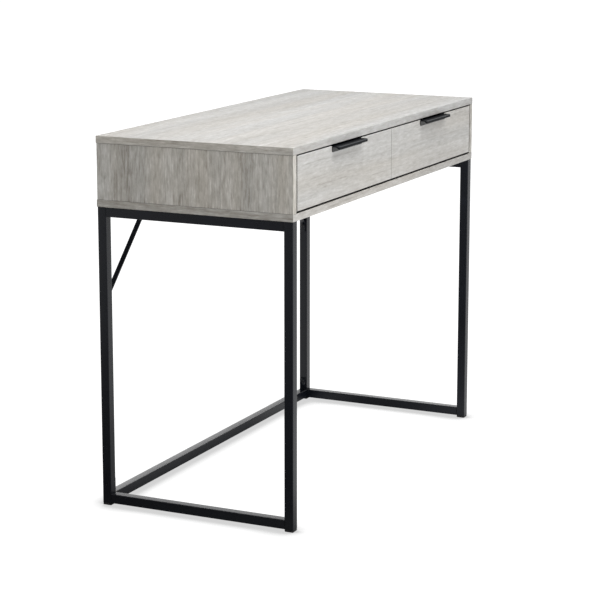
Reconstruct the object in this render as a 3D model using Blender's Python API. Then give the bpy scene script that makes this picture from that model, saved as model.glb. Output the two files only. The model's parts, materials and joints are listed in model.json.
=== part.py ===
"""Writing desk: a two-drawer oak cabinet on a black square-tube frame.

Metres, +Z up, +X to the sitter's right, -Y towards the sitter. The origin is on the floor, under
the middle of the desk's outline with its two edge pulls.
"""
import math

import bpy
import bmesh
from mathutils import Matrix, Vector

# ---------------------------------------------------------------- driving dimensions
WIDTH = 1.000                # over the top panel, along X
DEPTH = 0.450                # over the top panel, along Y
HEIGHT = 0.790               # floor to the top of the top panel
BOARD = 0.015                # cabinet board thickness
CABINET_BOTTOM = 0.642       # underside of the bottom panel
INSET = 0.001                # how far the side panels and the frame stand in from the top panel
FIT = 0.0003                 # gap between pieces that touch

TUBE = 0.020                 # square tube, outside
TUBE_WALL = 0.0012
TUBE_RADIUS = 0.0014         # outside corner of the tube
RAIL_BOTTOM = 0.005          # underside of the bottom rails and the stretcher

PULL_REACH = 0.016           # how far an edge pull stands out from the drawer front
PULL_LENGTH = 0.150
PULL_SHEET = 0.0015
PULL_PLATE = 0.0118          # height of the plate on the drawer's face, under the shelf's top
PULL_LIP = 0.0060            # height of the turned-down lip
PULL_FLANGE = 0.0115         # flange over the drawer front's top edge
PULL_CORNER = 0.0038         # rounding of the lip's ends
PULL_BEND = 0.0015           # outside radius of the bend where the lip turns down
PULL_SCREW_LENGTH = 0.016

DRAWER_GAP = 0.0011          # between the two drawer fronts, and between them and the centre divider
DRAWER_GAP_SIDE = 0.0040     # between a drawer front and the side panel
DRAWER_GAP_TOP = 0.0028
DRAWER_GAP_BOTTOM = 0.0042
DRAWER_BOARD = 0.012
DRAWER_BOX_LENGTH = 0.355    # behind the front
DRAWER_BOX_LOW = 0.669
DRAWER_BOX_HEIGHT = 0.084
DRAWER_FLOOR = 0.003         # hardboard thickness
DRAWER_GROOVE = 0.006        # depth of the floor's groove in each drawer side
DRAWER_GROOVE_UP = 0.010     # height of the groove above the drawer side's lower edge
SLIDE_SPACE = 0.0127         # between drawer box and cabinet, each side
SLIDE_LENGTH = 0.350
SLIDE_CENTRE = 0.711         # height of the slides' middle line

# ---------------------------------------------------------------- derived places
FRONT = -(DEPTH + PULL_REACH) / 2 + PULL_REACH
BACK = FRONT + DEPTH
CABINET_TOP = HEIGHT - BOARD
BAY_LOW = CABINET_BOTTOM + BOARD
SIDE_OUTER = WIDTH / 2 - INSET
SIDE_INNER = SIDE_OUTER - BOARD
BACK_PANEL_FACE = BACK - INSET - BOARD
BAY_WIDTH = SIDE_INNER - BOARD / 2
BAY_CENTRE = (SIDE_INNER + BOARD / 2) / 2
BOX_WIDTH = BAY_WIDTH - 2 * SLIDE_SPACE
BOX_FRONT = FRONT + BOARD + FIT
BOX_BACK = BOX_FRONT + DRAWER_BOX_LENGTH
PULL_SHELF_TOP = CABINET_TOP - 0.0042
PULL_SCREW_Y = FRONT + 0.0055
LEG_X = SIDE_OUTER - TUBE / 2
FRONT_LEG_Y = FRONT + INSET + TUBE / 2
REAR_LEG_Y = BACK - INSET - TUBE / 2
LEG_TOP = CABINET_BOTTOM - FIT
BOLT_HEIGHT = 0.046          # stretcher bolts, above the floor
STRETCHER_BOLT_REACH = 0.0036    # how far these bolts run on behind the leg
CABINET_BOLT_REACH = 0.0115      # how far the top rails' bolts run up into the cabinet
BRACE_FOOT = 0.4570          # height at which a brace bends away from its leg
BRACE_WIDTH = 0.011
BRACE_SHEET = 0.003
SIDES = {"left": -1, "right": 1}


# ---------------------------------------------------------------- materials
def make_material(name, colour, roughness, metallic=0.0):
    material = bpy.data.materials.new(name)
    material.use_nodes = True
    shader = material.node_tree.nodes["Principled BSDF"]
    shader.inputs["Base Color"].default_value = (*colour, 1.0)
    shader.inputs["Roughness"].default_value = roughness
    shader.inputs["Metallic"].default_value = metallic
    material.diffuse_color = (*colour, 1.0)
    return material


def make_materials():
    return {
        "grey_oak": make_material("grey_oak", (0.56, 0.54, 0.50), 0.55),
        "drawer_lining": make_material("drawer_lining", (0.62, 0.61, 0.58), 0.6),
        "hardboard": make_material("hardboard", (0.60, 0.59, 0.56), 0.5),
        "black_frame": make_material("black_frame", (0.018, 0.018, 0.020), 0.45, 0.3),
        "black_pull": make_material("black_pull", (0.014, 0.014, 0.016), 0.4, 0.3),
        "black_plastic": make_material("black_plastic", (0.020, 0.020, 0.022), 0.6),
        "slide_zinc": make_material("slide_zinc", (0.62, 0.63, 0.64), 0.3, 1.0),
        "fastener": make_material("fastener", (0.03, 0.03, 0.032), 0.35, 0.8),
    }


# ---------------------------------------------------------------- modelling helpers
def add_object(name, mesh, material, smooth_angle=None):
    mesh.materials.append(material)
    if smooth_angle is not None:
        mesh.shade_smooth()
        mesh.set_sharp_from_angle(angle=smooth_angle)
    obj = bpy.data.objects.new(name, mesh)
    bpy.context.scene.collection.objects.link(obj)
    return obj


def mesh_from_bmesh(name, bm):
    bmesh.ops.recalc_face_normals(bm, faces=bm.faces)
    mesh = bpy.data.meshes.new(name)
    bm.to_mesh(mesh)
    bm.free()
    return mesh


def block_mesh(name, low, high):
    """A box between two opposite corners."""
    bm = bmesh.new()
    bmesh.ops.create_cube(bm, size=1.0)
    centre = [(a + b) / 2 for a, b in zip(low, high)]
    size = [b - a for a, b in zip(low, high)]
    bmesh.ops.scale(bm, vec=size, verts=bm.verts)
    bmesh.ops.translate(bm, vec=centre, verts=bm.verts)
    return mesh_from_bmesh(name, bm)


def loft_mesh(name, sections, ring=False):
    """A skin over sections of equally many points, with end caps, or closed on itself as a ring."""
    bm = bmesh.new()
    rows = [[bm.verts.new(point) for point in section] for section in sections]
    pairs = list(zip(rows, rows[1:]))
    if ring:
        pairs.append((rows[-1], rows[0]))
    for near, far in pairs:
        for i, vert in enumerate(near):
            j = (i + 1) % len(near)
            bm.faces.new((vert, near[j], far[j], far[i]))
    if not ring:
        bm.faces.new(rows[0])
        bm.faces.new(rows[-1])
    return mesh_from_bmesh(name, bm)


def rounded_square(half, radius, steps=3):
    """Points round a square with rounded corners, anticlockwise."""
    points = []
    for corner in range(4):
        start = corner * math.pi / 2
        centre = Vector((half - radius, half - radius))
        centre.rotate(Matrix.Rotation(start, 2))
        for step in range(steps + 1):
            angle = start + math.pi / 2 * step / steps
            points.append(centre + radius * Vector((math.cos(angle), math.sin(angle))))
    return points


def circle(radius, sides=24):
    return [Vector((radius * math.cos(math.tau * i / sides), radius * math.sin(math.tau * i / sides)))
            for i in range(sides)]


def placed(points, centre, direction, distance):
    """Flat points set square to a direction, at a distance along it from a centre."""
    turn = Vector(direction).to_track_quat("Z", "Y")
    offset = Vector(centre) + Vector(direction) * distance
    return [offset + turn @ Vector((p[0], p[1], 0.0)) for p in points]


def bevel(obj, width, segments=2):
    modifier = obj.modifiers.new("edge", "BEVEL")
    modifier.width = width
    modifier.segments = segments
    modifier.limit_method = "ANGLE"
    modifier.angle_limit = math.radians(50)


def combine(obj, guide, operation="DIFFERENCE"):
    """Take a guide out of an object, or join it on; the guide itself stays hidden."""
    guide.hide_render = True
    guide.display_type = "WIRE"
    modifier = obj.modifiers.new(guide.name, "BOOLEAN")
    modifier.operation = operation
    modifier.solver = "EXACT"
    modifier.object = guide


def guide_block(name, low, high):
    obj = bpy.data.objects.new(name, block_mesh(name, low, high))
    bpy.context.scene.collection.objects.link(obj)
    return obj


def guide_round(name, centre, direction, start, end, radius, sides=24):
    """A round drill from start to end along a direction through centre."""
    outline = circle(radius, sides)
    sections = [placed(outline, centre, direction, at) for at in (start, end)]
    obj = bpy.data.objects.new(name, loft_mesh(name, sections))
    bpy.context.scene.collection.objects.link(obj)
    return obj


# ---------------------------------------------------------------- boards
def add_board(name, low, high, material, edge=0.0004):
    obj = add_object(name, block_mesh(name, low, high), material)
    bevel(obj, edge)
    return obj


def make_cabinet(material):
    half = WIDTH / 2
    low, high = BAY_LOW + FIT, CABINET_TOP - FIT
    panels = {}
    panels["top_panel"] = add_board(
        "top_panel", (-half, FRONT, CABINET_TOP), (half, BACK, HEIGHT), material)
    panels["bottom_panel"] = add_board(
        "bottom_panel", (-half, FRONT, CABINET_BOTTOM), (half, BACK, BAY_LOW), material)
    for side, sign in SIDES.items():
        x = sorted((sign * SIDE_INNER, sign * SIDE_OUTER))
        add_board("side_panel_" + side, (x[0], FRONT, low), (x[1], BACK - INSET, high), material)
    add_board("back_panel", (-SIDE_INNER + FIT, BACK_PANEL_FACE, low),
              (SIDE_INNER - FIT, BACK - INSET, high), material)
    add_board("centre_divider", (-BOARD / 2, FRONT + BOARD + DRAWER_GAP, low),
              (BOARD / 2, BACK_PANEL_FACE - FIT, high), material)
    return panels


# ---------------------------------------------------------------- drawers
def make_drawer_front(side, sign, empty, material):
    """The front, with a notch and two drilled holes in its top edge for the pull."""
    name = "drawer_front_" + side
    x = sorted((sign * DRAWER_GAP / 2, sign * (SIDE_INNER - DRAWER_GAP_SIDE)))
    obj = add_board(name, (x[0], FRONT, BAY_LOW + DRAWER_GAP_BOTTOM),
                    (x[1], FRONT + BOARD, CABINET_TOP - DRAWER_GAP_TOP), material)
    middle = (x[0] + x[1]) / 2
    half = PULL_LENGTH / 2 + FIT
    combine(obj, guide_block("notch_" + side,
                          (middle - half, FRONT - 0.01, PULL_SHELF_TOP - PULL_SHEET - FIT),
                          (middle + half, FRONT + BOARD + 0.01, CABINET_TOP)))
    for i, screw_x in enumerate(pull_screw_places(middle)):
        combine(obj, guide_round(f"pull_drill_{side}_{i}", (screw_x, PULL_SCREW_Y, PULL_SHELF_TOP),
                              (0, 0, -1), 0.0, PULL_SCREW_LENGTH + FIT, 0.0014 + FIT, 16))
    attach(obj, empty)
    return middle


def make_drawer_box(side, sign, empty, lining, hardboard):
    """Two sides with a groove for the floor, a back that stands on the floor, and the floor."""
    top = DRAWER_BOX_LOW + DRAWER_BOX_HEIGHT
    groove = DRAWER_BOX_LOW + DRAWER_GROOVE_UP
    floor_top = groove + FIT + DRAWER_FLOOR
    inner_faces = []
    for hand, inward in (("outer", -sign), ("inner", sign)):
        outside = sign * BAY_CENTRE - inward * BOX_WIDTH / 2
        inside = outside + inward * DRAWER_BOARD
        inner_faces.append(inside)
        x = sorted((outside, inside))
        wall = add_board(f"drawer_side_{side}_{hand}", (x[0], BOX_FRONT, DRAWER_BOX_LOW),
                         (x[1], BOX_BACK, top), lining)
        groove_x = sorted((inside - inward * DRAWER_GROOVE, inside + inward * 0.01))
        combine(wall, guide_block(f"groove_{side}_{hand}", (groove_x[0], BOX_FRONT - 0.01, groove),
                               (groove_x[1], BOX_BACK + 0.01, floor_top + FIT)))
        attach(wall, empty)
    low_x, high_x = sorted(inner_faces)
    back = add_board("drawer_back_" + side, (low_x + FIT, BOX_BACK - DRAWER_BOARD, floor_top + FIT),
                     (high_x - FIT, BOX_BACK, top), lining)
    attach(back, empty)
    tongue = DRAWER_GROOVE - FIT
    floor = add_board("drawer_floor_" + side, (low_x - tongue, BOX_FRONT, groove + FIT),
                      (high_x + tongue, BOX_BACK, floor_top), hardboard, 0.0002)
    attach(floor, empty)


# ---------------------------------------------------------------- edge pulls
def pull_screw_places(middle):
    return middle - PULL_LENGTH * 0.36, middle + PULL_LENGTH * 0.36


def pull_section(x, end_distance):
    """The pull's outline in the YZ plane, drawn in where its end is rounded."""
    draw_in = 0.0
    if end_distance < PULL_CORNER:
        away = PULL_CORNER - end_distance
        draw_in = PULL_CORNER - math.sqrt(PULL_CORNER ** 2 - away ** 2)
    top = PULL_SHELF_TOP
    under = top - PULL_SHEET
    face = FRONT - FIT
    lip = FRONT - PULL_REACH + draw_in
    lip_low = top - PULL_LIP + draw_in
    plate_low = top - PULL_PLATE + draw_in * 0.5
    soft = 0.0005
    bend = [(lip + PULL_BEND * (1 - math.cos(a)), top - PULL_BEND * (1 - math.sin(a)))
            for a in (math.pi / 2 * i / 4 for i in range(5))]
    outline = [
        (face + PULL_FLANGE, top), (face + PULL_FLANGE, under), (face, under), (face, plate_low),
        (face - PULL_SHEET, plate_low), (face - PULL_SHEET, under), (lip + PULL_SHEET, under),
        (lip + PULL_SHEET, lip_low), (lip + soft, lip_low), (lip, lip_low + soft),
    ]
    return [Vector((x, y, z)) for y, z in outline + bend]


def make_pull(side, middle, empty, black, fastener):
    half = PULL_LENGTH / 2
    steps = [PULL_CORNER * (1 - math.cos(math.pi / 2 * i / 5)) for i in range(6)]
    distances = steps + [PULL_LENGTH - step for step in reversed(steps)]
    sections = [pull_section(middle - half + d, min(d, PULL_LENGTH - d)) for d in distances]
    obj = add_object("pull_" + side, loft_mesh("pull_" + side, sections), black, math.radians(35))
    attach(obj, empty)
    for i, screw_x in enumerate(pull_screw_places(middle)):
        centre = (screw_x, PULL_SCREW_Y, PULL_SHELF_TOP)
        combine(obj, guide_round(f"pull_hole_{side}_{i}", centre, (0, 0, -1), -0.001, PULL_SHEET + 0.001,
                              0.0014 + FIT, 16))
        screw = add_screw(f"pull_screw_{side}_{i + 1}", centre, (0, 0, -1), 0.0028, 0.0012, 0.0014,
                          PULL_SCREW_LENGTH, fastener)
        attach(screw, empty)


# ---------------------------------------------------------------- fasteners
def add_screw(name, seat, direction, head_radius, head_height, shank_radius, length, material):
    """A pan-head screw with a round socket: its head sits on seat and its shank runs along direction."""
    dome = [(0.60, 1.0), (0.86, 0.86), (1.0, 0.50), (1.0, 0.0)]
    socket = head_radius * 0.42
    stations = [(socket, -head_height * 0.38), (socket, -head_height)]
    stations += [(head_radius * wide, -head_height * high) for wide, high in dome]
    stations += [(shank_radius, 0.0), (shank_radius, length - shank_radius), (shank_radius * 0.35, length)]
    sections = [placed(circle(radius, 14), seat, direction, at - FIT) for radius, at in stations]
    return add_object(name, loft_mesh(name, sections), material, math.radians(35))


# ---------------------------------------------------------------- ball-bearing slides
def channel_section(web, wall, open_to, half_height, sign, middle_y, middle_z):
    """A C-shaped section in the XZ plane: web on one side, its flanges open towards the other."""
    x_web, x_in, x_open = web, web + sign * wall, open_to
    outline = [
        (x_web, -half_height + 0.001), (x_web + sign * 0.001, -half_height), (x_open, -half_height),
        (x_open, -half_height + wall), (x_in, -half_height + wall), (x_in, half_height - wall),
        (x_open, half_height - wall), (x_open, half_height), (x_web + sign * 0.001, half_height),
        (x_web, half_height - 0.001),
    ]
    return [Vector((x, middle_y, middle_z + z)) for x, z in outline]


def make_slide(side, hand, sign, wall_x, drawer_empty, middle_empty, material):
    """One slide: wall_x is the cabinet wall it hangs on, sign points from there to the drawer."""
    start = BOX_FRONT + 0.001
    members = {
        "cabinet": (wall_x + sign * FIT, 0.0010, wall_x + sign * 0.0092, 0.0175, None, 0.0),
        "middle": (wall_x + sign * 0.0036, 0.0010, wall_x + sign * 0.0098, 0.0140, middle_empty, 0.002),
        "drawer": (wall_x + sign * (SLIDE_SPACE - FIT), 0.0010, wall_x + sign * 0.0068, 0.0100,
                   drawer_empty, 0.0),
    }
    for member, (web, wall, open_to, half_height, empty, set_back) in members.items():
        name = f"slide_{side}_{hand}_{member}"
        opening = -sign if member == "drawer" else sign
        sections = [channel_section(web, wall, open_to, half_height, opening, y, SLIDE_CENTRE)
                    for y in (start + set_back, start + SLIDE_LENGTH - set_back)]
        obj = add_object(name, loft_mesh(name, sections), material)
        if empty is not None:
            attach(obj, empty)


# ---------------------------------------------------------------- steel frame
def add_tube(name, start, end, material):
    """A hollow square tube with open ends, between the middles of its two end faces."""
    outer = rounded_square(TUBE / 2, TUBE_RADIUS)
    inner = rounded_square(TUBE / 2 - TUBE_WALL, TUBE_RADIUS * 0.4)
    direction = (Vector(end) - Vector(start)).normalized()
    length = (Vector(end) - Vector(start)).length
    sections = [placed(outer, start, direction, 0.0), placed(outer, start, direction, length),
                placed(inner, start, direction, length), placed(inner, start, direction, 0.0)]
    return add_object(name, loft_mesh(name, sections, ring=True), material, math.radians(35))


def make_side_frame(side, sign, black, fastener, bottom_panel):
    """Two legs and two rails, bolted up into the cabinet; returns the rear leg."""
    x = sign * LEG_X
    add_tube("front_leg_" + side, (x, FRONT_LEG_Y, RAIL_BOTTOM), (x, FRONT_LEG_Y, LEG_TOP), black)
    rear_leg = add_tube("rear_leg_" + side, (x, REAR_LEG_Y, RAIL_BOTTOM), (x, REAR_LEG_Y, LEG_TOP), black)
    ends = (FRONT_LEG_Y + TUBE / 2 + FIT, REAR_LEG_Y - TUBE / 2 - FIT)
    rail_z = LEG_TOP - TUBE / 2
    top_rail = add_tube("top_rail_" + side, (x, ends[0], rail_z), (x, ends[1], rail_z), black)
    low_z = RAIL_BOTTOM + TUBE / 2
    add_tube("bottom_rail_" + side, (x, ends[0], low_z), (x, ends[1], low_z), black)
    for place, y in (("front", FRONT_LEG_Y + 0.085), ("rear", REAR_LEG_Y - 0.085)):
        add_through_bolt(f"cabinet_bolt_{side}_{place}", (x, y, LEG_TOP - TUBE), (0, 0, 1),
                         CABINET_BOLT_REACH, top_rail, bottom_panel, fastener)
    return rear_leg


def make_stretcher(rear_legs, black, fastener):
    """The rear stretcher, with a tab at each end that stands up its leg and takes a bolt."""
    z = RAIL_BOTTOM + TUBE / 2
    inner = LEG_X - TUBE / 2 - FIT
    stretcher = add_tube("rear_stretcher", (-inner, REAR_LEG_Y, z), (inner, REAR_LEG_Y, z), black)
    tab_top = BOLT_HEIGHT + 0.009
    for side, sign in SIDES.items():
        x = sorted((sign * inner, sign * (inner - 0.003)))
        tab = guide_block("stretcher_tab_" + side,
                           (x[0], REAR_LEG_Y - 0.008, RAIL_BOTTOM + TUBE - 0.0006),
                           (x[1], REAR_LEG_Y + 0.008, tab_top))
        combine(stretcher, tab, "UNION")
        add_through_bolt("stretcher_bolt_" + side, (sign * SIDE_OUTER, REAR_LEG_Y, BOLT_HEIGHT),
                         (-sign, 0, 0), STRETCHER_BOLT_REACH, rear_legs[side], stretcher, fastener)


def add_through_bolt(name, outer, inward, reach, tube, target, material):
    """A bolt through a tube: its long head is flush in the outer wall, its shank runs on into target."""
    head, shank, socket = 0.0028, 0.0018, 0.0016
    access = guide_round("access_" + name, outer, inward, -0.002, TUBE / 2, head + FIT)
    drill = guide_round("drill_" + name, outer, inward, TUBE / 2 - 0.001, TUBE + reach, shank + FIT)
    combine(tube, access)
    combine(tube, drill)
    combine(target, drill)
    head_end = TUBE - TUBE_WALL - FIT
    shank_end = TUBE + reach - FIT
    stations = [(socket, 0.0025), (socket, 0.0006), (head - 0.0004, 0.0006), (head, 0.0010),
                (head, head_end), (shank, head_end), (shank, shank_end - shank), (shank * 0.5, shank_end)]
    sections = [placed(circle(radius, 14), outer, inward, at) for radius, at in stations]
    add_object(name, loft_mesh(name, sections), material, math.radians(35))


def brace_outline(sign):
    """The strap's edge in the XZ plane: a tab down the leg, a 45 degree run, a tab under the cabinet."""
    leg_face = LEG_X - TUBE / 2 - FIT
    ceiling = CABINET_BOTTOM - FIT
    half = BRACE_SHEET / 2
    run_up = ceiling - half - BRACE_FOOT
    corner_low = Vector((leg_face - half, BRACE_FOOT))
    corner_high = Vector((leg_face - half - run_up, ceiling - half))
    tab_low = corner_low - Vector((0.0, 0.0235))
    tab_high = corner_high - Vector((0.0245, 0.0))
    normals = (Vector((1, 0)), Vector((1, 1)).normalized(), Vector((0, 1)))
    miter = 1 / math.cos(math.radians(22.5))
    bends = [(corner_low, normals[0], normals[1]), (corner_high, normals[1], normals[2])]
    outer, inner = [tab_low + normals[0] * half], [tab_low - normals[0] * half]
    for corner, before, after in bends:
        across = (before + after).normalized() * half * miter
        outer.append(corner + across)
        inner.append(corner - across)
    outer.append(tab_high + normals[2] * half)
    inner.append(tab_high - normals[2] * half)
    return [Vector((sign * p.x, p.y)) for p in outer + inner[::-1]]


def make_brace(side, sign, rear_leg, bottom_panel, black, fastener):
    outline = brace_outline(sign)
    name = "brace_" + side
    sections = [[Vector((p.x, y, p.y)) for p in outline]
                for y in (REAR_LEG_Y - BRACE_WIDTH / 2, REAR_LEG_Y + BRACE_WIDTH / 2)]
    brace = add_object(name, loft_mesh(name, sections), black)
    leg_face = sign * (LEG_X - TUBE / 2)
    low_seat = (leg_face - sign * (FIT + BRACE_SHEET), REAR_LEG_Y, BRACE_FOOT - 0.0085)
    high_x = sign * (LEG_X - TUBE / 2 - (CABINET_BOTTOM - BRACE_FOOT) - 0.014)
    high_seat = (high_x, REAR_LEG_Y, CABINET_BOTTOM - FIT - BRACE_SHEET)
    for end, seat, direction, target in (
            ("leg", low_seat, (sign, 0, 0), rear_leg), ("cabinet", high_seat, (0, 0, 1), bottom_panel)):
        drill = guide_round(f"brace_drill_{side}_{end}", seat, direction, -0.001, 0.0135, 0.0022)
        combine(brace, drill)
        combine(target, drill)
        add_screw(f"brace_screw_{side}_{end}", seat, direction, 0.0040, 0.0022, 0.0019, 0.0125, fastener)
    bevel(brace, 0.0004, 1)


def make_foot(name, x, y, material):
    """A cap under a leg: a chamfered base, flush with the tube, and a plug inside it."""
    base, plug = TUBE / 2 - 0.0002, TUBE / 2 - TUBE_WALL - FIT
    base_top = RAIL_BOTTOM - FIT
    stations = [(base - 0.0009, 0.0, 0.0012), (base, 0.0012, 0.0016), (base, base_top, 0.0016),
                (plug, base_top, 0.0008), (plug, 0.016, 0.0008), (plug - 0.0012, 0.0175, 0.0006)]
    sections = [placed(rounded_square(half, radius), (x, y, 0.0), (0, 0, 1), z)
                for half, z, radius in stations]
    add_object(name, loft_mesh(name, sections), material, math.radians(35))


# ---------------------------------------------------------------- assembly
def add_empty(name, place):
    empty = bpy.data.objects.new(name, None)
    empty.location = place
    bpy.context.scene.collection.objects.link(empty)
    return empty


def attach(obj, empty):
    """Parent a piece to its slide's empty without moving it."""
    obj.parent = empty
    obj.matrix_parent_inverse = Matrix.Translation(-Vector(empty.location))


def clear_scene():
    for obj in list(bpy.data.objects):
        bpy.data.objects.remove(obj, do_unlink=True)


def main():
    clear_scene()
    materials = make_materials()
    oak, black, fastener = materials["grey_oak"], materials["black_frame"], materials["fastener"]
    bottom_panel = make_cabinet(oak)["bottom_panel"]
    for side, sign in SIDES.items():
        drawer = add_empty("drawer_slide_" + side, (sign * BAY_CENTRE, FRONT, SLIDE_CENTRE))
        middles = add_empty("middle_slide_" + side, (sign * BAY_CENTRE, FRONT, SLIDE_CENTRE))
        middle = make_drawer_front(side, sign, drawer, oak)
        make_drawer_box(side, sign, drawer, materials["drawer_lining"], materials["hardboard"])
        make_pull(side, middle, drawer, materials["black_pull"], fastener)
        walls = {"outer": (-sign, sign * SIDE_INNER), "inner": (sign, sign * BOARD / 2)}
        for hand, (towards, wall_x) in walls.items():
            make_slide(side, hand, towards, wall_x, drawer, middles, materials["slide_zinc"])
    rear_legs = {}
    for side, sign in SIDES.items():
        rear_legs[side] = make_side_frame(side, sign, black, fastener, bottom_panel)
        for place, y in (("front", FRONT_LEG_Y), ("rear", REAR_LEG_Y)):
            make_foot(f"foot_{place}_{side}", sign * LEG_X, y, materials["black_plastic"])
    make_stretcher(rear_legs, black, fastener)
    for side, sign in SIDES.items():
        make_brace(side, sign, rear_legs[side], bottom_panel, black, fastener)


main()
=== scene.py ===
"""The looks of the writing desk: grey oak boards, black powder-coated steel, a white studio.

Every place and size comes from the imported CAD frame. Metres, +Z up, -Y towards the sitter.
"""
import json
import math
from collections import namedtuple

import bpy
import bmesh
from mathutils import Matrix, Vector


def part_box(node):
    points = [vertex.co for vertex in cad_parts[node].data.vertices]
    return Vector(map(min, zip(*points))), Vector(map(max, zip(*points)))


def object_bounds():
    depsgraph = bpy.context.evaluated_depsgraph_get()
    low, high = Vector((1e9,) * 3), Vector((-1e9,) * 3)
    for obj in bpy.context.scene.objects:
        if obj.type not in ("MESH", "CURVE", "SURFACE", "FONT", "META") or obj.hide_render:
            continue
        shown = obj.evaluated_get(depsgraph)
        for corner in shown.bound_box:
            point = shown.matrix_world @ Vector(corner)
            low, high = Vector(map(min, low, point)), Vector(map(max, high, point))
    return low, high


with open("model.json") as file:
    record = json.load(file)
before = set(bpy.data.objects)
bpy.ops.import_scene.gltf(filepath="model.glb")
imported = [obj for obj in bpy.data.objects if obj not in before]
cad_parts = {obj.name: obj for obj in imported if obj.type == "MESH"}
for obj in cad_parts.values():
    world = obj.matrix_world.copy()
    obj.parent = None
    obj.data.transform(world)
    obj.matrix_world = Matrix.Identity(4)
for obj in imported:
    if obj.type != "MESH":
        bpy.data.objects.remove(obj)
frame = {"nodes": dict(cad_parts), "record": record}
cad_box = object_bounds()
nodes = frame["nodes"]
MM = 0.001
WHITE = (1.0, 1.0, 1.0, 1.0)
BLACK = (0.0, 0.0, 0.0)


# ---------------------------------------------------------------- shader helpers
def new_material(name, colour, roughness, metallic=0.0, specular=0.5):
    """A Principled material and its tree; the constants sit on the shader's own sockets."""
    material = bpy.data.materials.new(name)
    material.use_nodes = True
    tree = material.node_tree
    shader = tree.nodes["Principled BSDF"]
    shader.inputs["Base Color"].default_value = (*colour, 1.0)
    shader.inputs["Roughness"].default_value = roughness
    shader.inputs["Metallic"].default_value = metallic
    shader.inputs["Specular IOR Level"].default_value = specular
    material.diffuse_color = (*colour, 1.0)
    return material, tree, shader


def add(tree, kind, inputs=None, output=0, **settings):
    """Adds a node, wires or sets its inputs, and returns one of its outputs."""
    made = tree.nodes.new("ShaderNode" + kind)
    for key, value in settings.items():
        setattr(made, key, value)
    for key, value in (inputs or {}).items():
        if isinstance(value, bpy.types.NodeSocket):
            tree.links.new(value, made.inputs[key])
        else:
            made.inputs[key].default_value = value
    return made.outputs[output]


def maths(tree, operation, a, b=0.0, c=0.0):
    """One sum on two or three numbers or signals."""
    return add(tree, "Math", {0: a, 1: b, 2: c}, operation=operation)


def map_range(tree, value, start, end, low=0.0, high=1.0):
    """Turns start to end into low to high, and holds the value there beyond both."""
    return add(tree, "MapRange", {"Value": value, "From Min": start, "From Max": end,
                                  "To Min": low, "To Max": high})


def along(tree, vector, direction):
    """How far a vector reaches in a direction."""
    return add(tree, "VectorMath", {0: vector, 1: direction}, output="Value", operation="DOT_PRODUCT")


def centred(tree, value, gain):
    """A 0 to 1 signal as a swing of half the gain each way about zero."""
    return maths(tree, "MULTIPLY_ADD", value, gain, -gain / 2)


def noise(tree, place, stretch, detail=2.0, roughness=0.5):
    """Noise whose cells per metre differ along the three axes of place."""
    stretched = add(tree, "VectorMath", {0: place, 1: stretch}, operation="MULTIPLY")
    return add(tree, "TexNoise", {"Vector": stretched, "Scale": 1.0, "Detail": detail,
                                  "Roughness": roughness}, output="Fac")


def times(colour, tint):
    """A colour times a tint, or times one number."""
    tint = tint if isinstance(tint, tuple) else (tint, tint, tint)
    return tuple(a * b for a, b in zip(colour, tint))


def ramp(tree, value, stops):
    """A colour ramp from (position, (r, g, b)) stops."""
    made = tree.nodes.new("ShaderNodeValToRGB")
    elements = made.color_ramp.elements
    while len(elements) < len(stops):
        elements.new(0.5)
    for element, (position, colour) in zip(elements, stops):
        element.position = position
        element.color = (*colour, 1.0)
    tree.links.new(value, made.inputs[0])
    return made.outputs[0]


def bump(tree, shader, height, distance, strength):
    """Gives a material a fine relief, distance metres deep where height is 1."""
    normal = add(tree, "Bump", {"Height": height, "Distance": distance, "Strength": strength})
    tree.links.new(normal, shader.inputs["Normal"])


def object_place(tree, axes="XYZ", offset=(0.0, 0.0, 0.0)):
    """Row coordinates in metres, with the axes in the order asked for."""
    place = add(tree, "TexCoord", output="Object")
    if axes != "XYZ":
        split = tree.nodes.new("ShaderNodeSeparateXYZ")
        tree.links.new(place, split.inputs[0])
        parts = {i: split.outputs["XYZ".index(axis)] for i, axis in enumerate(axes)}
        place = add(tree, "CombineXYZ", parts)
    return add(tree, "VectorMath", {0: place, 1: offset}, operation="ADD")


# ---------------------------------------------------------------- materials
OAK_DARK = (0.215, 0.194, 0.168)
OAK_MID = (0.372, 0.352, 0.320)
OAK_LIGHT = (0.470, 0.452, 0.420)
OAK_PALE = (0.640, 0.626, 0.596)
OAK_WARM = (1.020, 1.000, 0.972)
OAK_COOL = (0.990, 1.000, 1.012)
HEART_SPACING = 220 * MM     # the rings run round hearts this far apart
RINGS_PER_METRE = 120.0
CREVICE = 12 * MM            # gaps up to about this wide are painted dark inside: painted shade
PAINTED_CREVICE_SHADE = 0.12


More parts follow.
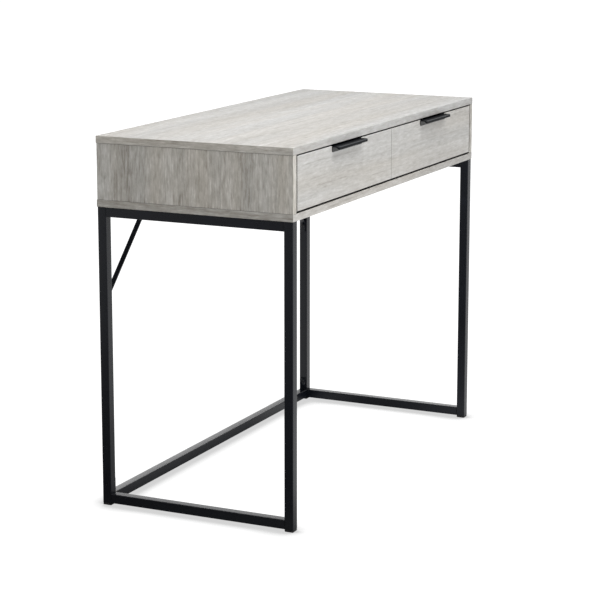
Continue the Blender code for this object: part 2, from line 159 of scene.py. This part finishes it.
def oak(name, axes, offset, contrast, tint, wave, shorter=1.0, finer=1.0):
    """Limed grey oak laminate. The first of axes runs along the grain, the second across the face.

    A shorter or finer above one makes the streaks that many times shorter or narrower.
    """
    material, tree, shader = new_material(name, OAK_MID, 0.5, specular=0.4)
    straight = object_place(tree, axes, offset)
    wander = noise(tree, straight, (1.6, 5.0, 5.0), 2.0)
    ripple = noise(tree, straight, (7.0, 26.0, 26.0), 2.0)
    bend = maths(tree, "MULTIPLY_ADD", wander, wave, maths(tree, "MULTIPLY", ripple, wave * 0.12))
    sideways = add(tree, "CombineXYZ", {1: bend})
    place = add(tree, "VectorMath", {0: straight, 1: sideways}, operation="ADD")
    split = tree.nodes.new("ShaderNodeSeparateXYZ")
    tree.links.new(place, split.inputs[0])

    heart = maths(tree, "PINGPONG", split.outputs[1], HEART_SPACING / 2)
    depth = maths(tree, "MULTIPLY", noise(tree, straight, (1.2, 2.0, 2.0), 1.0), 0.130)
    squares = maths(tree, "ADD", maths(tree, "MULTIPLY", heart, heart), maths(tree, "MULTIPLY", depth, depth))
    ring = maths(tree, "FRACT", maths(tree, "MULTIPLY", maths(tree, "SQRT", squares), RINGS_PER_METRE))
    latewood = maths(tree, "MULTIPLY", maths(tree, "POWER", ring, 2.0),
                     noise(tree, place, (2.0 * shorter, 18.0, 18.0), 3.0))

    band = centred(tree, noise(tree, place, (0.8, 26.0, 26.0), 2.0), 0.80)
    streak = centred(tree, noise(tree, place, (3.0 * shorter, 110.0 * finer, 110.0 * finer), 4.0, 0.65), 0.60)
    fleck = centred(tree, noise(tree, place, (38.0, 240.0, 240.0), 3.0, 0.6), 1.15)
    fibre = centred(tree, noise(tree, place, (60.0, 1500.0, 1500.0), 2.0), 0.55)
    mottle = centred(tree, noise(tree, straight, (40.0, 75.0, 75.0), 4.0, 0.7), 0.70)
    pore = maths(tree, "GREATER_THAN", noise(tree, place, (70.0, 1000.0, 1000.0), 1.0), 0.66)
    check = map_range(tree, noise(tree, place, (3.4 * shorter, 150.0, 150.0), 2.0, 0.4), 0.64, 0.74)

    tone = maths(tree, "ADD", maths(tree, "ADD", band, streak), maths(tree, "ADD", fleck, fibre))
    tone = maths(tree, "ADD", tone, mottle)
    tone = maths(tree, "MULTIPLY_ADD", latewood, -0.22, tone)
    tone = maths(tree, "MULTIPLY_ADD", pore, 0.22, tone)
    tone = maths(tree, "MULTIPLY_ADD", check, -0.32, tone)
    tone = maths(tree, "MULTIPLY_ADD", tone, contrast, 0.56)
    colour = ramp(tree, tone, [(0.0, OAK_DARK), (0.40, OAK_MID), (0.66, OAK_LIGHT), (1.0, OAK_PALE)])
    hue = ramp(tree, noise(tree, place, (1.1, 17.0, 17.0), 3.0),
               [(0.34, times(OAK_WARM, tint)), (0.62, times(OAK_COOL, tint))])
    colour = add(tree, "VectorMath", {0: colour, 1: hue}, operation="MULTIPLY")
    # Painted shade: the oak's colour is darkened in narrow gaps and inner corners found by ambient occlusion,
    # as if shadowed there.
    open_air = add(tree, "AmbientOcclusion", {"Distance": CREVICE}, output="AO", samples=8)
    painted_crevice_shade = map_range(tree, open_air, 0.38, 0.54, low=PAINTED_CREVICE_SHADE)
    colour = add(tree, "VectorMath", {0: colour, 1: painted_crevice_shade}, operation="MULTIPLY")
    tree.links.new(colour, shader.inputs["Base Color"])
    gloss = maths(tree, "MULTIPLY_ADD", tone, -0.12, 0.60)
    tree.links.new(gloss, shader.inputs["Roughness"])
    height = maths(tree, "ADD", maths(tree, "MULTIPLY_ADD", pore, -0.8, fleck), fibre)
    bump(tree, shader, height, 0.10 * MM, 0.35)
    return material


def powder_coat(name, colour, roughness, specular, peel=0.30):
    """Black powder coat with a fine orange peel and faint rubbed patches."""
    material, tree, shader = new_material(name, colour, roughness, specular=specular)
    place = object_place(tree)
    patches = noise(tree, place, (14.0, 14.0, 14.0), 4.0, 0.6)
    grit = noise(tree, place, (1600.0, 1600.0, 1600.0), 2.0)
    rubbed = ramp(tree, patches, [(0.30, times(colour, 0.80)), (0.55, colour), (0.78, times(colour, 1.35))])
    tree.links.new(rubbed, shader.inputs["Base Color"])
    gloss = maths(tree, "ADD", centred(tree, patches, 0.16), centred(tree, grit, 0.10))
    tree.links.new(maths(tree, "ADD", gloss, roughness), shader.inputs["Roughness"])
    bump(tree, shader, grit, 0.05 * MM, peel)
    return material


def melamine(name, colour, roughness):
    """Matt pale board with a faint speckle and a slight tooth."""
    material, tree, shader = new_material(name, colour, roughness, specular=0.4)
    place = object_place(tree)
    speckle = noise(tree, place, (900.0, 900.0, 900.0), 3.0, 0.7)
    cloud = noise(tree, place, (7.0, 7.0, 7.0), 3.0)
    tone = maths(tree, "MULTIPLY_ADD", cloud, 0.5, maths(tree, "MULTIPLY", speckle, 0.5))
    mottled = ramp(tree, tone, [(0.30, times(colour, 0.88)), (0.50, colour), (0.70, times(colour, 1.08))])
    tree.links.new(mottled, shader.inputs["Base Color"])
    bump(tree, shader, speckle, 0.04 * MM, 0.25)
    return material


def zinc(name):
    """Zinc-plated strip, drawn along Y, with cloudy plating."""
    material, tree, shader = new_material(name, (0.60, 0.61, 0.62), 0.32, metallic=1.0)
    place = object_place(tree)
    drawn = noise(tree, place, (1500.0, 12.0, 1500.0), 3.0)
    cloud = noise(tree, place, (60.0, 25.0, 60.0), 3.0)
    tree.links.new(ramp(tree, cloud, [(0.3, (0.50, 0.51, 0.53)), (0.7, (0.68, 0.69, 0.69))]),
                   shader.inputs["Base Color"])
    tree.links.new(maths(tree, "ADD", centred(tree, drawn, 0.24), 0.34), shader.inputs["Roughness"])
    bump(tree, shader, drawn, 0.02 * MM, 0.3)
    return material


def black_oxide(name):
    """Blackened steel, worn to grey in spots."""
    material, tree, shader = new_material(name, (0.022, 0.022, 0.024), 0.36, metallic=0.5)
    place = object_place(tree)
    worn = noise(tree, place, (420.0, 420.0, 420.0), 4.0, 0.65)
    tree.links.new(ramp(tree, worn, [(0.35, (0.014, 0.014, 0.015)), (0.62, (0.024, 0.024, 0.026)),
                                     (0.80, (0.075, 0.074, 0.072))]), shader.inputs["Base Color"])
    tree.links.new(maths(tree, "ADD", centred(tree, worn, 0.3), 0.38), shader.inputs["Roughness"])
    bump(tree, shader, worn, 0.03 * MM, 0.4)
    return material


# ---------------------------------------------------------------- CAD nodes and their finish
def soften(obj):
    """Rounds the shading of a faceted CAD node without touching its mesh."""
    modifier = obj.modifiers.new("join_facets", "WELD")
    modifier.merge_threshold = 0.002 * MM
    modifier = obj.modifiers.new("even_shading", "WEIGHTED_NORMAL")
    modifier.weight = 60
    modifier.keep_sharp = False


def finish_node(name, *materials, axes=()):
    """Gives a CAD node its material; faces square to the first of axes take the second, and so on."""
    obj = nodes[name]
    obj.data.materials.clear()
    for material in materials:
        obj.data.materials.append(material)
    for face in obj.data.polygons:
        square = [i + 1 for i, axis in enumerate(axes) if abs(face.normal[axis]) > 0.7]
        face.material_index = square[0] if square else 0
    soften(obj)


# Each board's grain: the axes of its faces and of its ends, the axis its ends are square to, where in
# the wood it was cut, its contrast, tint and waviness, how much darker its ends and long edges are painted
# than its faces (painted shade), and how much shorter and finer its streaks are than the top's.
Board = namedtuple("Board", "face_axes end_axes end_axis cut contrast tint wave end edge grain",
                   defaults=(1.0, 1.0, (1.0, 1.0)))
COLD, COOL, WARM = (0.978, 1.0, 1.040), (0.980, 1.0, 1.034), (0.998, 1.0, 0.992)
SIDE_GRAIN = (3.5, 1.7)
BOARDS = {
    "top_panel": Board("XYZ", "YZX", 0, (0.0, 0.0, 0.0), 0.62, COLD, 0.003, edge=0.90),
    "bottom_panel": Board("XYZ", "YZX", 0, (3.1, 1.7, 0.4), 0.62, COOL, 0.003, end=0.91, edge=0.94),
    "back_panel": Board("XZY", "ZXY", 0, (5.3, 0.9, 1.2), 0.70, COOL, 0.003),
    "side_panel_left": Board("ZYX", "YXZ", 2, (7.7, 2.2, 0.3), 0.95, WARM, 0.010, grain=SIDE_GRAIN),
    "side_panel_right": Board("ZYX", "YXZ", 2, (9.4, 4.1, 1.6), 0.95, WARM, 0.010, grain=SIDE_GRAIN),
    "centre_divider": Board("YZX", "ZXY", 1, (2.6, 5.2, 0.8), 0.70, COOL, 0.003),
    "drawer_front_left": Board("XZY", "ZXY", 0, (6.2, 3.3, 2.4), 0.55, COOL, 0.003, end=0.80),
    "drawer_front_right": Board("XZY", "ZXY", 0, (6.2, 3.3, 2.4), 0.55, COOL, 0.003, end=0.80),
}
END_CUT = 0.7                # a board's ends come from this much further along in the wood
END_CONTRAST = 0.9
END_WAVE = 0.004


def finish_boards():
    """Each board has its grain along its length, and its banded ends along the end."""
    for name, board in BOARDS.items():
        face_oak = oak(name + "_face", board.face_axes, board.cut, board.contrast, board.tint, board.wave,
                       *board.grain)
        end_cut = tuple(place + END_CUT for place in board.cut)
        # Painted shade: the end tint darkens the ends below the faces, most on the drawer fronts so their
        # gaps read dark.
        end_oak = oak(name + "_end", board.end_axes, end_cut, END_CONTRAST, times(WARM, board.end), END_WAVE)
        if board.edge == 1.0:
            finish_node(name, face_oak, end_oak, axes=(board.end_axis,))
            continue
        # Painted shade: the long edges are tinted darker than the faces.
        painted_shade_edge_oak = oak(name + "_edge", board.face_axes, board.cut, board.contrast,
                       times(board.tint, board.edge), board.wave)
        finish_node(name, face_oak, end_oak, painted_shade_edge_oak, axes=(board.end_axis, 1))


def finish_rest():
    """All but the oak boards and the pulls take their finish from their material slot in the record."""
    slots = {
        "drawer_lining": melamine("drawer_lining_finish", (0.56, 0.55, 0.52), 0.55),
        "hardboard": melamine("hardboard_finish", (0.52, 0.51, 0.48), 0.6),
        "black_frame": powder_coat("frame_powder_coat", (0.0045, 0.0058, 0.0095), 0.28, 0.28),
        "black_plastic": powder_coat("foot_plastic", (0.0120, 0.0120, 0.0125), 0.58, 0.35, 0.5),
        "slide_zinc": zinc("slide_plating"),
        "fastener": black_oxide("screw_oxide"),
    }
    for part in frame["record"]["subparts"]:
        if part["material_slot"] in slots:
            finish_node(part["node"], slots[part["material_slot"]])


PLATE_BEHIND_LIP = 3 * MM    # faces to the front that lie further back than this are the back plate's, which is painted lighter


def finish_pull(name):
    """Matt black, with a painted highlight on the lip's bend and the plate behind the lip painted lighter as
    if lit.
    """
    finish_node(name, powder_coat("pull_matt", (0.0035, 0.0042, 0.0058), 0.45, 0.04, 0.15),
                powder_coat("pull_painted_highlight_bend", (0.0240, 0.0260, 0.0300), 0.40, 0.16, 0.15),
                powder_coat("pull_painted_light_plate", (0.0330, 0.0330, 0.0325), 0.45, 0.16, 0.15))
    mesh = nodes[name].data
    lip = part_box(name)[0].y
    for face in mesh.polygons:
        # Painted light: the bend takes a brighter black as a painted highlight and the plate a lighter one;
        # the rest stays matt black.
        highlight_face = face.normal.y < -0.1 and face.normal.z > 0.1
        behind = face.normal.y < -0.9 and face.center.y > lip + PLATE_BEHIND_LIP
        face.material_index = 1 if highlight_face else 2 if behind else 0


# ---------------------------------------------------------------- studio
FLOOR_SIZE = 8.0             # from the middle to each edge
FLOOR_GREY = (0.15, 0.15, 0.15)
FLOOR_GAP = 0.2 * MM         # between the floor and whatever stands on it
PAINTED_SHADOW_REACH = 100 * MM      # how near a thing has to be for the floor to be painted darker: painted shadow
PAINTED_SHADOW_TONE = 0.65           # the floor's darkest painted shadow
TO_RIGHT = (0.97, -0.24, 0.0)
TO_FAR_SIDE = (0.905, 0.425, 0.0)
UP = (0.0, 0.0, 1.0)
WORLD_SEEN = 1.05            # just over white, so the background clips to it


def area_light(name, place, target, width, height, power):
    """A soft box at place that shines at target and stays out of sight."""
    light = bpy.data.lights.new(name, "AREA")
    light.shape = "RECTANGLE"
    light.size = width
    light.size_y = height
    light.energy = power
    obj = bpy.data.objects.new(name, light)
    obj.location = place
    obj.visible_camera = False
    obj.rotation_mode = "QUATERNION"
    obj.rotation_quaternion = (Vector(target) - Vector(place)).to_track_quat("-Z", "Y")
    bpy.context.scene.collection.objects.link(obj)


def floor_light(tree, place, open_sky):
    """What the desk sees of the floor: brighter to its front, right and back, and far away, and painted
    darker close round whatever stands on it.
    """
    front_glow = map_range(tree, along(tree, place, (0.30, -0.95, 0.0)), 0.05, 0.27, high=0.80)
    right_glow = map_range(tree, along(tree, place, TO_RIGHT), -0.62, -0.35, high=0.36)
    back_glow = map_range(tree, along(tree, place, (0.42, 0.89, 0.0)), 0.20, 0.34)
    away = add(tree, "VectorMath", {0: place}, output="Value", operation="LENGTH")
    far_glow = map_range(tree, away, 1.1, 4.4, high=0.60)
    lit = maths(tree, "MAXIMUM", maths(tree, "MAXIMUM", front_glow, right_glow),
                maths(tree, "MAXIMUM", back_glow, far_glow))
    # Painted shade: the glow is darkened where ambient occlusion finds something close above the floor.
    return maths(tree, "MULTIPLY", lit, maths(tree, "POWER", open_sky, 2.0))


def make_floor():
    """A seamless floor, white to the eye, with a painted shadow close round whatever stands on it."""
    bm = bmesh.new()
    bmesh.ops.create_grid(bm, x_segments=1, y_segments=1, size=FLOOR_SIZE)
    mesh = bpy.data.meshes.new("studio_floor")
    bm.to_mesh(mesh)
    bm.free()
    floor = bpy.data.objects.new("studio_floor", mesh)
    floor.location = (0.0, 0.0, cad_box[0].z - FLOOR_GAP)
    bpy.context.scene.collection.objects.link(floor)
    material, tree, shader = new_material("studio_floor", FLOOR_GREY, 0.9, specular=0.0)
    eye = add(tree, "LightPath", output="Is Camera Ray")
    open_sky = add(tree, "AmbientOcclusion", {"Distance": PAINTED_SHADOW_REACH}, output="AO", samples=16)
    # Painted shadow: what the camera sees of the floor is emission darkened by ambient occlusion, not lit by
    # the lamps.
    seen = maths(tree, "MAXIMUM", maths(tree, "MULTIPLY_ADD", open_sky, 1.65, -0.45), PAINTED_SHADOW_TONE)
    lit = floor_light(tree, object_place(tree), open_sky)
    shader.inputs["Emission Color"].default_value = WHITE
    tree.links.new(map_range(tree, eye, 0.0, 1.0, lit, seen), shader.inputs["Emission Strength"])
    tree.links.new(ramp(tree, eye, [(0.0, FLOOR_GREY), (1.0, BLACK)]), shader.inputs["Base Color"])
    mesh.materials.append(material)


def make_world():
    """White all round for the eye; as a light, dim on the left, bright on the right and low behind."""
    world = bpy.data.worlds.new("studio")
    world.use_nodes = True
    bpy.context.scene.world = world
    tree = world.node_tree
    tree.nodes.clear()
    direction = add(tree, "TexCoord", output="Generated")
    right_glow = map_range(tree, along(tree, direction, TO_RIGHT), -0.35, 0.9, 0.04, 0.66)
    low = map_range(tree, along(tree, direction, UP), 0.15, 0.45, 1.6, 0.0)
    far_side = map_range(tree, along(tree, direction, TO_FAR_SIDE), 0.60, 0.92)
    glow = maths(tree, "ADD", right_glow, maths(tree, "MULTIPLY", low, far_side))
    lit = add(tree, "Background", {"Color": WHITE, "Strength": glow})
    seen = add(tree, "Background", {"Color": WHITE, "Strength": WORLD_SEEN})
    eye = add(tree, "LightPath", output="Is Camera Ray")
    mixed = add(tree, "MixShader", {0: eye, 1: lit, 2: seen})
    out = tree.nodes.new("ShaderNodeOutputWorld")
    tree.links.new(mixed, out.inputs[0])


def make_lights():
    """A large key overhead, a fill from the front left and a soft box from the rear left."""
    area_light("key_above", (-0.40, -0.75, 2.9), (0.0, 0.0, 0.6), 2.2, 2.2, 74.0)
    area_light("front_fill", (-0.95, -1.9, 1.0), (-0.45, -0.2, 0.7), 1.2, 1.2, 17.5)
    area_light("left_soft", (-2.3, 1.2, 1.9), (-0.5, 0.15, 0.72), 1.4, 1.2, 16.5)


def make_camera():
    """Stands at the front left of the desk, a little above it, with a long lens."""
    camera = bpy.data.cameras.new("camera")
    camera.sensor_width = 36.0
    camera.lens = 121.85
    camera.shift_y = -0.06
    obj = bpy.data.objects.new("camera", camera)
    azimuth, pitch = math.radians(64.69), math.radians(11.0)
    obj.location = (-4.0686, -1.9197, 1.3272)
    level = Vector((math.sin(azimuth), math.cos(azimuth), 0.0))
    ahead = level * math.cos(pitch) - Vector(UP) * math.sin(pitch)
    obj.rotation_mode = "QUATERNION"
    obj.rotation_quaternion = ahead.to_track_quat("-Z", "Y")
    bpy.context.scene.collection.objects.link(obj)
    bpy.context.scene.camera = obj


finish_boards()
finish_rest()
finish_pull("pull_left")
finish_pull("pull_right")
make_floor()
make_world()
make_lights()
make_camera()
bpy.context.scene.view_settings.view_transform = "Standard"
